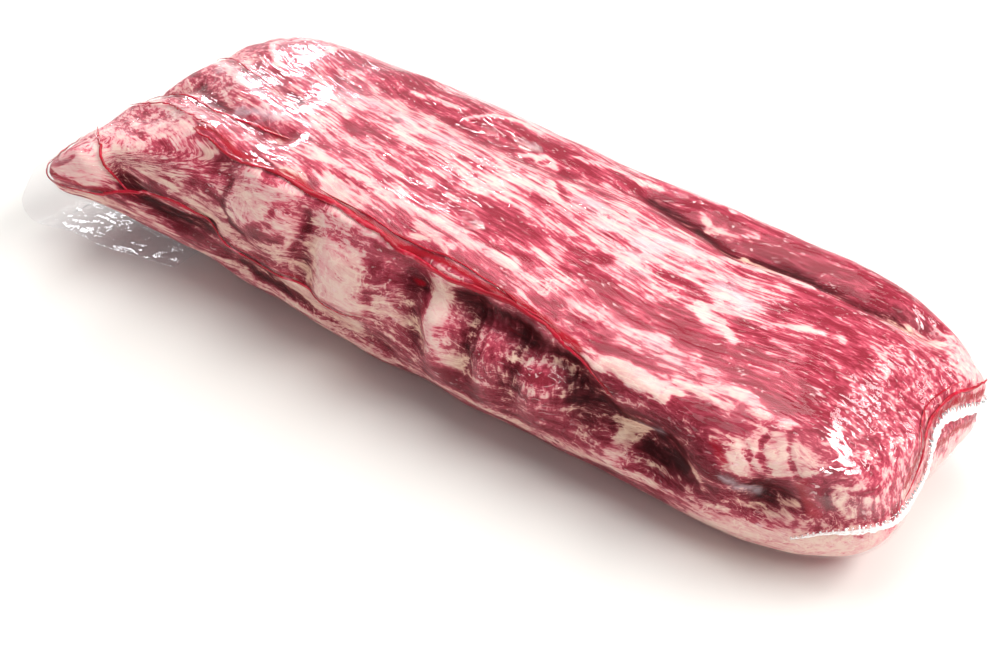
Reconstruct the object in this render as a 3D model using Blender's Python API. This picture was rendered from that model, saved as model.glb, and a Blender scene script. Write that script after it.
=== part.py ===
"""A raw boneless ribeye roll in its clear shrink bag, lying on its flat underside.

Three solids: the packed meat with the bag clinging to it, the gathered seal of the bag
round the near end, and the loose tail of the bag at the far end. Metres, +Z up. +X runs
along the roll to the near end, -Y is the front side with the lip, and the origin is on
the flat underside.
"""

import math

import bmesh
import bpy
import numpy as np
from mathutils import Vector, noise
from mathutils.bvhtree import BVHTree

MM = 0.001
TINY = 1e-7

# Length of the roll and the sections along it. Each section is a place on X, how far the
# front and the back side reach, and how high the front ridge and the back edge stand.
HALF_LENGTH = 250 * MM
SECTIONS = np.array(
    [
        (-250, 98, 86, 56, 63),
        (-200, 88, 87, 78, 80),
        (-120, 83, 91, 97, 82),
        (-30, 85, 90, 100, 80),
        (60, 86, 82, 93, 80),
        (140, 84, 78, 79, 82),
        (200, 83, 76, 76, 80),
        (250, 72, 72, 74, 70),
    ]
) * MM
PLACE, FRONT_REACH, BACK_REACH, RIDGE_HEIGHT, BACK_HEIGHT = SECTIONS.T

# Roundings of the block: the near end in plan, the far end, the long sides, top and bottom.
NEAR_END_RADIUS = 62 * MM
FAR_END_RADIUS = 16 * MM
SIDE_ROUNDING = 0.41
TOP_ROUNDING = 0.73
BOTTOM_ROUNDING = 0.88
CROWN = 6 * MM
CROWN_FALL = 4

# The far end curls up off the board, starting here.
CURL_START = -30 * MM
CURL_RISE = 30 * MM
CURL_POWER = 1.6

# Faces along the length, the width and the height of the block.
LENGTH_FACES = 66
WIDTH_FACES = 22
HEIGHT_FACES = 15

# Relief fades out over this height above the underside, which stays flat.
FLAT_BAND = 9 * MM
UNDULATION = 1.6 * MM
UNDULATION_SIZE = 38 * MM

# Creases and channels: which coordinates they are drawn in, how far they stand out of
# the surface (in, where negative), their half width, and their course, in millimetres.
CREASES = {
    "bag fold along the front ridge": (
        "xyz", 4.0, 5, [(-150, -62, 91), (-93, -72, 91), (-2, -76, 88), (68, -73, 85), (113, -79, 72)]),
    "channel below the ridge": (
        "xz", -9.0, 8, [(16, 78), (70, 74), (104, 65), (122, 54)]),
    "seam between rib cap and eye, near half": (
        "xy", -8.0, 7, [(60, 44), (94, 36), (118, 31), (150, 36), (187, 35), (222, 44)]),
    "seam between rib cap and eye, far half": (
        "xy", -2.5, 8, [(-140, 30), (-60, 27), (0, 26), (50, 30)]),
    "deep fold of the far end": (
        "xy", -7.0, 7, [(-255, -18), (-226, -8), (-196, -14), (-160, -32), (-110, -45)]),
    "pleat beside the deep fold": (
        "xy", 2.5, 6, [(-244, -34), (-205, -36), (-165, -50), (-125, -58)]),
    "second fold of the far end": (
        "xy", -3.0, 7, [(-250, 48), (-205, 26), (-170, 10), (-130, -6)]),
    "third fold of the far end": (
        "xy", -2.5, 6, [(-235, 70), (-200, 58), (-170, 40)]),
    "fold beside the far corner": (
        "xz", 3.0, 5, [(-234, 68), (-212, 62), (-190, 54), (-176, 46)]),
    "dark hollow under that fold": (
        "xz", -6.5, 7, [(-196, 60), (-172, 50), (-150, 47), (-128, 52)]),
    "bag fold along the front": (
        "xz", 2.5, 5, [(-244, 52), (-212, 49), (-184, 52), (-150, 56), (-112, 48), (-62, 46), (-16, 50)]),
    "channel along the lower front": (
        "xz", -4.0, 7, [(-120, 34), (-90, 37), (-55, 31), (-10, 28)]),
    "gap between the round and the middle lump": (
        "xz", -6.0, 6, [(-57, 86), (-56, 66), (-62, 48)]),
    "gap before the long lump": (
        "xz", -7.0, 7, [(6, 84), (9, 66), (14, 50)]),
    "gap past the long lump": (
        "xz", -4.0, 5, [(46, 76), (47, 60), (44, 46)]),
    "gap between the rib fingers": (
        "xz", -5.0, 5, [(72, 74), (73, 58), (71, 44)]),
    "gap past the rib fingers": (
        "xz", -7.0, 7, [(100, 68), (103, 54), (112, 42)]),
    "upper edge of the end seal": (
        "yz", 3.0, 4, [(-30, 56), (0, 59), (24, 58), (46, 51), (62, 38)]),
    "hollow behind the end seal": (
        "yz", -3.5, 5, [(-4, 53), (16, 53), (34, 48)]),
}

# Lumps and hollows: coordinates, height out of the surface, centre and radii.
LUMPS = {
    "round fat lump": ("xz", 8.0, (-87, 78), (27, 21)),
    "middle fat lump": ("xz", 7.0, (-34, 60), (22, 19)),
    "long fat lump": ("xz", 8.5, (30, 60), (13, 32)),
    "first rib-finger lump": ("xz", 6.5, (60, 58), (13, 26)),
    "second rib-finger lump": ("xz", 6.5, (86, 54), (13, 25)),
    "shoulder past the fingers": ("xz", 3.5, (140, 68), (26, 10)),
    "hollow where the bone was": ("xz", -12.0, (147, 46), (26, 14)),
    "fat lump in that hollow": ("xz", 3.5, (134, 34), (12, 10)),
    "corner fat lump": ("xz", 4.0, (180, 56), (17, 15)),
    "corner hollow": ("xz", -9.0, (208, 45), (12, 11)),
    "fat of the far corner": ("xz", 4.0, (-222, 60), (20, 12)),
    "heel of fat below the seal": ("yz", 3.5, (-48, 22), (30, 17)),
    "rib cap, near half": ("xy", 2.5, (120, 58), (70, 16)),
    "rib cap, far half": ("xy", 2.0, (-70, 52), (100, 20)),
    "eye of the near end": ("xy", 2.0, (185, -18), (55, 40)),
    "hump of the far end": ("xy", 2.5, (-205, 30), (26, 24)),
    "saddle beside the far corner": ("xy", -4.5, (-200, -48), (34, 20)),
}

# The way each side faces, and how far a surface turns towards it before it takes its relief.
SIDE_OF = {"xz": (0, -1, 0), "xy": (0, 0, 1), "yz": (1, 0, 0)}
SIDE_BEGINS = 0.15
SIDE_WHOLE = 0.6

# How the edge of a lump falls away: the larger, the flatter its top and the steeper its edge.
LUMP_FALL = 1.2
LUMP_SHAPE = 1.3

# The end seal: a flat gathered ribbon laid round the near end, clear of the meat by a hair.
SEAL_COURSE = np.array(
    [
        (219, -73, 29),
        (232, -66, 35),
        (243, -56, 36),
        (250, -38, 35),
        (250, -14, 37),
        (249, -4, 48),
        (247, 8, 54),
        (249, 24, 50),
        (250, 40, 44),
        (244, 56, 38),
        (232, 68, 33),
        (219, 74, 28),
    ]
) * MM
SEAL_HALF_WIDTH = 4.0 * MM
SEAL_THICKNESS = 1.8 * MM
SEAL_STATIONS = 64
SEAL_TIP = 0.06
SEAL_RUFFLE = 0.12
SEAL_RUFFLE_TURN = 1.9
CLEARANCE = 0.7 * MM

# The strip's own section: six corners, each a side (-1, 0 or 1) and a share of the thickness.
SEAL_CORNERS = ((-1, 0), (0, 0), (1, 0), (1, 0.7), (0, 1), (-1, 0.7))

# The tail of the bag: a limp sheet of film that leaves the far end's face, turns under it
# and runs back below the lifted end to its cut edge. Each point of its course is a place
# on X, the height there, and where its front side edge lies; its back edge stays straight.
TAIL_COURSE = np.array(
    [
        (-255, 46, -92),
        (-258, 36, -97),
        (-262, 22, -100),
        (-257, 12, -98),
        (-240, 9, -91),
        (-210, 9, -87),
        (-185, 9, -81),
        (-166, 9, -77),
    ]
) * MM
TAIL_BACK = 70 * MM
TAIL_THICKNESS = 1.2 * MM
TAIL_DROOP = 0.06
TAIL_STATIONS = 20
TAIL_COLUMNS = 18

# The crumple of the tail: waves, each a height, and turns across and along the sheet. They
# grow from nothing at the end face, over this share of its length.
TAIL_WAVES = ((1.2 * MM, 9, 5), (0.7 * MM, 17, -11))
TAIL_WAVES_GROWN = 0.33


def through(x, values):
    """A smooth curve through one measure of the sections."""
    slope = np.gradient(values, PLACE)
    x = np.clip(x, PLACE[0], PLACE[-1])
    i = np.clip(np.searchsorted(PLACE, x) - 1, 0, len(PLACE) - 2)
    step = PLACE[i + 1] - PLACE[i]
    t = (x - PLACE[i]) / step
    rise = t * t * (3 - 2 * t)
    ease = slope[i] * step * (t - 1) ** 2 * t + slope[i + 1] * step * (t - 1) * t * t
    return values[i] * (1 - rise) + values[i + 1] * rise + ease


def curl(x):
    """Height of the underside above the board."""
    along = np.clip((CURL_START - x) / (HALF_LENGTH + CURL_START), 0, None)
    return CURL_RISE * along**CURL_POWER


def block(u, v, w):
    """Maps a point of the unit box (each coordinate from -1 to 1) to the smooth pack."""
    x = u * HALF_LENGTH
    end_radius = np.where(u > 0, NEAR_END_RADIUS, FAR_END_RADIUS)
    edge_radius = np.where(w > 0, TOP_ROUNDING, BOTTOM_ROUNDING)
    core_x = np.clip(x, FAR_END_RADIUS - HALF_LENGTH, HALF_LENGTH - NEAR_END_RADIUS)
    core_v = np.clip(v, SIDE_ROUNDING - 1, 1 - SIDE_ROUNDING)
    core_w = np.clip(w, edge_radius - 1, 1 - edge_radius)
    out = np.stack(((x - core_x) / end_radius, (v - core_v) / SIDE_ROUNDING, (w - core_w) / edge_radius))
    out /= np.maximum(np.linalg.norm(out, axis=0), TINY)
    x = core_x + end_radius * out[0]
    v = core_v + SIDE_ROUNDING * out[1]
    w = core_w + edge_radius * out[2]

    y = np.where(v < 0, v * through(x, FRONT_REACH), v * through(x, BACK_REACH))
    back = (v + 1) / 2
    top = through(x, RIDGE_HEIGHT) * (1 - back) + through(x, BACK_HEIGHT) * back
    top += CROWN * (1 - v * v) * (1 - (np.abs(x) / HALF_LENGTH) ** CROWN_FALL)
    low = curl(x)
    return np.stack((x, y, low + (top - low) * (w + 1) / 2), axis=-1)


def distance_to_course(points, course):
    """Distance of each point to a line through the points of a course."""
    nearest = np.full(len(points), np.inf)
    for start, end in zip(course[:-1], course[1:]):
        run = end - start
        share = np.clip((points - start) @ run / (run @ run), 0, 1)
        nearest = np.minimum(nearest, np.linalg.norm(points - start - share[:, None] * run, axis=1))
    return nearest


def eased(value):
    """0 up to 0, 1 from 1 on, and a smooth rise between them."""
    share = np.clip(value, 0, 1)
    return share * share * (3 - 2 * share)


def coordinates(points, axes):
    return points[:, ["xyz".index(axis) for axis in axes]]


def facing(normals, axes):
    """How much each point belongs to the side that a feature lies on, from 0 to 1."""
    if axes == "xyz":
        return np.ones(len(normals))
    return eased((normals @ np.array(SIDE_OF[axes]) - SIDE_BEGINS) / (SIDE_WHOLE - SIDE_BEGINS))


def relief(points, normals):
    """Height of the folds, lumps and hollows over the smooth pack."""
    height = np.zeros(len(points))
    for axes, rise, half_width, course in CREASES.values():
        apart = distance_to_course(coordinates(points, axes), np.array(course, float) * MM)
        height += rise * MM * np.exp(-((apart / (half_width * MM)) ** 2)) * facing(normals, axes)
    for axes, rise, centre, radii in LUMPS.values():
        away = (coordinates(points, axes) - np.array(centre) * MM) / (np.array(radii) * MM)
        mound = np.exp(-LUMP_FALL * (away**2).sum(axis=1) ** LUMP_SHAPE)
        height += rise * MM * mound * facing(normals, axes)
    for i, point in enumerate(points):
        height[i] += UNDULATION * noise.noise(Vector(point) / UNDULATION_SIZE)
    return height * eased((points[:, 2] - curl(points[:, 0])) / FLAT_BAND)


def plain_material(name, colour, roughness, alpha=1.0):
    material = bpy.data.materials.new(name)
    material.use_nodes = True
    shader = material.node_tree.nodes["Principled BSDF"]
    shader.inputs["Base Color"].default_value = (*colour, 1)
    shader.inputs["Roughness"].default_value = roughness
    shader.inputs["Metallic"].default_value = 0
    shader.inputs["Alpha"].default_value = alpha
    material.diffuse_color = (*colour, 1)
    return material


def add_object(name, bm, material):
    bmesh.ops.recalc_face_normals(bm, faces=bm.faces)
    mesh = bpy.data.meshes.new(name)
    bm.to_mesh(mesh)
    mesh.materials.append(material)
    mesh.shade_smooth()
    bpy.context.scene.collection.objects.link(bpy.data.objects.new(name, mesh))


def cut_into_faces(bm, axis, count):
    """Cuts the cube of side 2 into equal slices across one axis."""
    normal = Vector((0, 0, 0))
    normal[axis] = 1
    for k in range(1, count):
        everything = bm.verts[:] + bm.edges[:] + bm.faces[:]
        place = normal * (2 * k / count - 1)
        bmesh.ops.bisect_plane(bm, geom=everything, plane_co=place, plane_no=normal, dist=TINY)


def build_roll():
    """The meat with its bag drawn tight on it: a cut cube, rounded and then given its relief."""
    bm = bmesh.new()
    bmesh.ops.create_cube(bm, size=2)
    cut_into_faces(bm, 0, LENGTH_FACES)
    cut_into_faces(bm, 1, WIDTH_FACES)
    cut_into_faces(bm, 2, HEIGHT_FACES)
    unit = np.array([vertex.co for vertex in bm.verts])
    smooth = block(*unit.T)
    for vertex, place in zip(bm.verts, smooth):
        vertex.co = place
    bmesh.ops.recalc_face_normals(bm, faces=bm.faces)
    bm.normal_update()
    normals = np.array([vertex.normal for vertex in bm.verts])
    height = relief(smooth, normals)
    for vertex, place in zip(bm.verts, smooth + normals * height[:, None]):
        vertex.co = place
    bmesh.ops.triangulate(bm, faces=bm.faces, quad_method="SHORT_EDGE")
    add_object("ribeye_roll", bm, plain_material("packed_beef", (0.48, 0.10, 0.13), 0.28))
    return bm


def course_points(course, shares):
    """Points on a smooth curve through a course, at shares of its length from 0 to 1."""
    run = np.concatenate(([0], np.cumsum(np.linalg.norm(np.diff(course, axis=0), axis=1))))
    slope = np.gradient(course, run, axis=0)
    along = np.asarray(shares) * run[-1]
    i = np.clip(np.searchsorted(run, along) - 1, 0, len(run) - 2)
    step = (run[i + 1] - run[i])[:, None]
    t = (along - run[i])[:, None] / step
    rise = t * t * (3 - 2 * t)
    ease = slope[i] * step * (t - 1) ** 2 * t + slope[i + 1] * step * (t - 1) * t * t
    return course[i] * (1 - rise) + course[i + 1] * rise + ease


def laid_on(tree, point, rise):
    """The point of the roll nearest to a point, lifted off it by a rise."""
    place, normal, _, _ = tree.find_nearest(Vector(point))
    return place + normal * rise


def build_seal(tree):
    """The gathered seal: a flat strip swept round the near end, each corner laid on the roll."""
    places = course_points(SEAL_COURSE, np.linspace(0, 1, SEAL_STATIONS))
    bm = bmesh.new()
    rings = []
    for k, place in enumerate(places):
        before, after = places[max(k - 1, 0)], places[min(k + 1, len(places) - 1)]
        _, normal, _, _ = tree.find_nearest(Vector(place))
        across = Vector(after - before).cross(normal).normalized()
        share = min(max(k / (len(places) - 1), SEAL_TIP), 1 - SEAL_TIP)
        ruffle = 1 + SEAL_RUFFLE * math.sin(SEAL_RUFFLE_TURN * k)
        reach = SEAL_HALF_WIDTH * math.sqrt(math.sin(math.pi * share)) * ruffle
        ring = []
        for side, rise in SEAL_CORNERS:
            spot = Vector(place) + across * side * reach
            ring.append(bm.verts.new(laid_on(tree, spot, CLEARANCE + rise * SEAL_THICKNESS)))
        rings.append(ring)
    for one, other in zip(rings[:-1], rings[1:]):
        for k in range(len(one)):
            bm.faces.new((one[k], one[k - 1], other[k - 1], other[k]))
    bm.faces.new(rings[0])
    bm.faces.new(rings[-1])
    bmesh.ops.triangulate(bm, faces=bm.faces)
    add_object("end_seal", bm, plain_material("gathered_film", (0.86, 0.80, 0.78), 0.25))


def build_tail():
    """The loose tail: a grid bent along its course, then given the film's thickness."""
    bm = bmesh.new()
    bmesh.ops.create_grid(bm, x_segments=TAIL_STATIONS, y_segments=TAIL_COLUMNS, size=1)
    along, back, _ = ((np.array([vertex.co for vertex in bm.verts]) + 1) / 2).T
    x, z, front = course_points(TAIL_COURSE, along).T
    y = front + (TAIL_BACK - front) * back
    crumple = sum(height * np.sin(across * back + turn * along) for height, across, turn in TAIL_WAVES)
    z += crumple * np.clip(along / TAIL_WAVES_GROWN, 0, 1) - TAIL_DROOP * z * back
    for vertex, place in zip(bm.verts, np.stack((x, y, z), axis=-1)):
        vertex.co = place
    bmesh.ops.triangulate(bm, faces=bm.faces, quad_method="FIXED")
    bmesh.ops.recalc_face_normals(bm, faces=bm.faces)
    bmesh.ops.solidify(bm, geom=bm.faces[:], thickness=TAIL_THICKNESS)
    add_object("bag_tail", bm, plain_material("clear_film", (0.85, 0.85, 0.86), 0.12, 0.35))


def main():
    for item in list(bpy.data.objects):
        bpy.data.objects.remove(item, do_unlink=True)
    roll = build_roll()
    build_seal(BVHTree.FromBMesh(roll))
    roll.free()
    build_tail()


main()
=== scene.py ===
"""The looks of a raw ribeye roll in its clear shrink bag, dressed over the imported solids.

Metres, +Z up. The roll lies along X with its sealed end at +X, its lip side faces -Y.
"""

import math

import bmesh
import bpy
import numpy as np
from mathutils import Matrix, Vector, noise
from mathutils.bvhtree import BVHTree


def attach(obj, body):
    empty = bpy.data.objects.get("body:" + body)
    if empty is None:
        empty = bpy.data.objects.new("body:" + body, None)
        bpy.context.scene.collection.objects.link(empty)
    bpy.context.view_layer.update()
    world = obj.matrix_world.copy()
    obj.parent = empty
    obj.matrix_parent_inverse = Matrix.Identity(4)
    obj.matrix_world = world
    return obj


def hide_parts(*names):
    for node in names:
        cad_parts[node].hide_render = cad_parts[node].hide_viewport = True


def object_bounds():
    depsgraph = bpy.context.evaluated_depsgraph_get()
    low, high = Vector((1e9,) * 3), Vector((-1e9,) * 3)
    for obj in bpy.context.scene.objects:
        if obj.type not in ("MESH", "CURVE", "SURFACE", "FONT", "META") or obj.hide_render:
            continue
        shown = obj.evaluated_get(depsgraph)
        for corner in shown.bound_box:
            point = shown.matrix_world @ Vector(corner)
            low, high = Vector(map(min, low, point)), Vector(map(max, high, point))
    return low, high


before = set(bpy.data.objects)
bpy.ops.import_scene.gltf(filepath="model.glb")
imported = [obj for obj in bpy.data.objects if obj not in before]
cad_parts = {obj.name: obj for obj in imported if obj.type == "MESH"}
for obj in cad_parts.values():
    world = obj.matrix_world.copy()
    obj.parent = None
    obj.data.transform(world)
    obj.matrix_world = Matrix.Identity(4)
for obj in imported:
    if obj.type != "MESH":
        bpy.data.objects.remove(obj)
cad_box = [list(corner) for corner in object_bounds()]

# ------------------------------------------------------------------------------------
# The beef. One boneless muscle block: the big eye at the sealed end, the rib cap along
# the back, pale fat and silverskin between them, and fat lumps and bone hollows on the
# front side, where the ribs were cut away.
# ------------------------------------------------------------------------------------
MM = 0.001
SMOOTHING = 2
SAME_SPOT = 0.01 * MM
# How far two triangles may be from flat and from square, in radians, to become one face.
FLAT_PAIR, SQUARE_PAIR = 0.9, 1.2
# The sides that are drawn on: the two axes of a drawing, and the way the side faces. Skin
# that faces a side less than the first share takes no stroke, and more than the second all.
SIDES = {"top": ((0, 1), (0, 0, 1)), "front": ((0, 2), (0, -1, 0)), "end": ((1, 2), (1, 0, 0))}
FACING = (0.1, 0.5)
# The neighbours' share in each round of evening out.
EVENING = 0.6


def fine_copy(node, name):
    """A smooth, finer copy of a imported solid, as a new object."""
    bm = bmesh.new()
    bm.from_mesh(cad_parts[node].data)
    bmesh.ops.remove_doubles(bm, verts=bm.verts, dist=SAME_SPOT)
    bmesh.ops.join_triangles(
        bm, faces=bm.faces, angle_face_threshold=FLAT_PAIR, angle_shape_threshold=SQUARE_PAIR
    )
    for face in bm.faces:
        face.smooth = True
    rough = bpy.data.meshes.new(name + "_coarse")
    bm.to_mesh(rough)
    bm.free()
    piece = bpy.data.objects.new(name, rough)
    bpy.context.scene.collection.objects.link(piece)
    smoother = piece.modifiers.new("smooth", "SUBSURF")
    smoother.levels = smoother.render_levels = SMOOTHING
    depsgraph = bpy.context.evaluated_depsgraph_get()
    piece.data = bpy.data.meshes.new_from_object(piece.evaluated_get(depsgraph))
    piece.data.name = name
    piece.modifiers.clear()
    bpy.data.meshes.remove(rough)
    return piece


def read(mesh, what):
    """The places or the normals of a mesh's vertices, as an array."""
    values = np.empty(len(mesh.vertices) * 3, np.float32)
    mesh.vertices.foreach_get(what, values)
    return values.reshape(-1, 3).astype(float)


def ease(value, low, high):
    """0 below low, 1 above high, and a smooth rise between them."""
    t = np.clip((value - low) / (high - low), 0, 1)
    return t * t * (3 - 2 * t)


def even_out(mesh, values, rounds):
    """Averages a number at each vertex with its neighbours, over and over."""
    ends = np.empty(len(mesh.edges) * 2, np.int64)
    mesh.edges.foreach_get("vertices", ends)
    one, other = ends.reshape(-1, 2).T
    count = np.bincount(ends, minlength=len(values))
    for _ in range(rounds):
        around = np.bincount(one, values[other], len(values))
        around += np.bincount(other, values[one], len(values))
        values = (1 - EVENING) * values + EVENING * around / count
    return values


def even_places(mesh, places, rounds):
    """Evens out places along each axis."""
    return np.stack([even_out(mesh, places[:, axis], rounds) for axis in range(3)], axis=1)


def bend(way, start, run):
    """A slope of 0 before a start and of 1 past it, which sets in over a run."""
    return run * np.log1p(np.exp((way - start) / run))


class Skin:
    """The surface of a piece as arrays, on which strokes are drawn in millimetres."""

    def __init__(self, mesh):
        self.place = read(mesh, "co")
        self.normal = read(mesh, "normal")
        # Drawings are made on shifted places, so that every stroke has a torn edge.
        self.ragged = self.place + self.wander(17, 2.6) + self.wander(6, 1.1, 50.0)

    def noise(self, size, seed=0.0):
        """Smooth noise from -1 to 1, with features of a size (x, y, z) in millimetres."""
        spots = self.place / (np.array(size) * MM) + seed
        return np.array([noise.noise(Vector(spot)) for spot in spots])

    def wander(self, size, reach, seed=0.0):
        """A smooth random shift of each point, with features of a size, all in millimetres."""
        ways = [self.noise((size, size, size), seed + 13.7 * k) for k in range(3)]
        return np.stack(ways, axis=1) * reach * MM

    def stroke(self, side, half_width, *course, edge=2.4):
        """How much each point lies under a ragged stroke drawn on one side, from 0 to 1."""
        axes, outward = SIDES[side]
        spots = self.ragged[:, axes] / MM
        course = np.array(course, float)
        apart = np.full(len(spots), np.inf)
        for start, end in zip(course[:-1], course[1:]):
            run = end - start
            share = np.clip((spots - start) @ run / (run @ run), 0, 1)
            apart = np.minimum(apart, np.linalg.norm(spots - start - share[:, None] * run, axis=1))
        return np.exp(-((apart / half_width) ** edge)) * ease(self.normal @ outward, *FACING)

    def paint(self, field, strokes, edge=2.4, top_part=1):
        """Blends a field towards each stroke's value in turn. Strokes on the top can be
        kept to a part of it."""
        for value, side, half_width, *course in strokes:
            part = top_part if side == "top" else 1
            field += (value - field) * self.stroke(side, half_width, *course, edge=edge) * part

    def lift_to(self, field, strokes):
        """Raises a field to each stroke's value, under that stroke."""
        for value, side, half_width, *course in strokes:
            np.maximum(field, value * self.stroke(side, half_width, *course), out=field)


beef = fine_copy("ribeye_roll", "ribeye_beef")
skin = Skin(beef.data)
up, forth, endward = skin.normal[:, 2], -skin.normal[:, 1], skin.normal[:, 0]
x_mm, y_mm, z_mm = (skin.place / MM).T

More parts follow.
